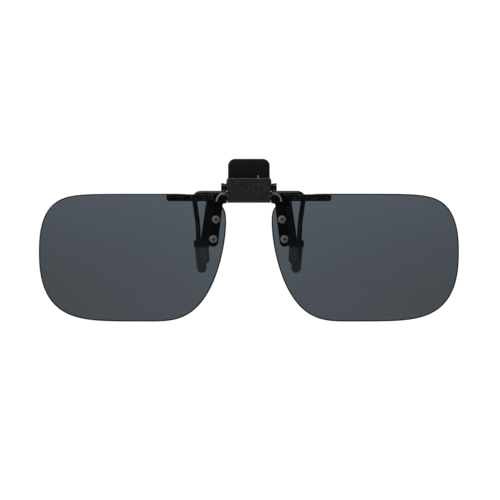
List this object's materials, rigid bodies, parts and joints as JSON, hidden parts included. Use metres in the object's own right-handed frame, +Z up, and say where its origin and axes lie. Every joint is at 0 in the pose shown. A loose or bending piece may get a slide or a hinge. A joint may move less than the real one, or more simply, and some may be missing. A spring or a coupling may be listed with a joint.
{
  "type": "clip-on sunglasses",
  "caption": "Flip-up clip-on sun lenses: rectangular grey tinted lenses hung from a click-stop axle on a spring clamp with four rubber-tipped fingers.",
  "frame": {"origin": "midway between the two pairs of fingers, on the plane of the front tips' gripping faces, which is the front surface of the spectacle lens", "axes": "+X to the wearer's left, +Y back towards the wearer's face, +Z up; the front faces -Y"},
  "size_m": [0.13, 0.013, 0.0503],
  "materials": {
    "smoke_lens": "polished, grey tinted",
    "housing_paint": "matte",
    "black_paint": "satin",
    "bracket_paint": "satin",
    "wire_paint": "satin",
    "cap_plastic": "matte",
    "tip_rubber": "matte, smoky and slightly translucent",
    "spring_steel": "satin",
    "axle_steel": "satin",
    "screw_steel": "satin",
    "washer_nylon": "matte"
  },
  "bodies": {
    "clamp_body": {"hinge_housing": "housing_paint", "clamp_frame": "black_paint", "pivot_pin": "black_paint", "torsion_spring": "spring_steel", "detent_spring": "spring_steel", "front_leg_left": "black_paint", "front_leg_right": "black_paint", "front_tip_left": "tip_rubber", "front_tip_right": "tip_rubber"},
    "rear_jaw": {"thumb_lever": "black_paint", "lever_cap": "cap_plastic", "rear_wire_left": "wire_paint", "rear_wire_right": "wire_paint", "rear_tip_left": "tip_rubber", "rear_tip_right": "tip_rubber"},
    "flip_frame": {"hinge_axle": "axle_steel", "lens_bracket_left": "bracket_paint", "lens_bracket_right": "bracket_paint", "lens_left": "smoke_lens", "lens_right": "smoke_lens", "lens_screws": "screw_steel", "lens_nuts": "screw_steel", "front_washers": "washer_nylon", "rear_washers": "washer_nylon"}
  },
  "joints": [
    {"name": "lens_flip", "type": "hinge", "parent": "clamp_body", "child": "flip_frame", "pos_m": [0, -0.0057, 0.0187], "axis": [-1, 0, 0], "range_deg": [0, 90], "deforming": ["detent_spring"]},
    {"name": "jaw_open", "type": "hinge", "parent": "clamp_body", "child": "rear_jaw", "pos_m": [0, -0.0053, 0.02185], "axis": [1, 0, 0], "range_deg": [0, 20], "stiffness_Nm_per_rad": 0.08, "springref_deg": -20.05, "deforming": ["torsion_spring"]}
  ]
}
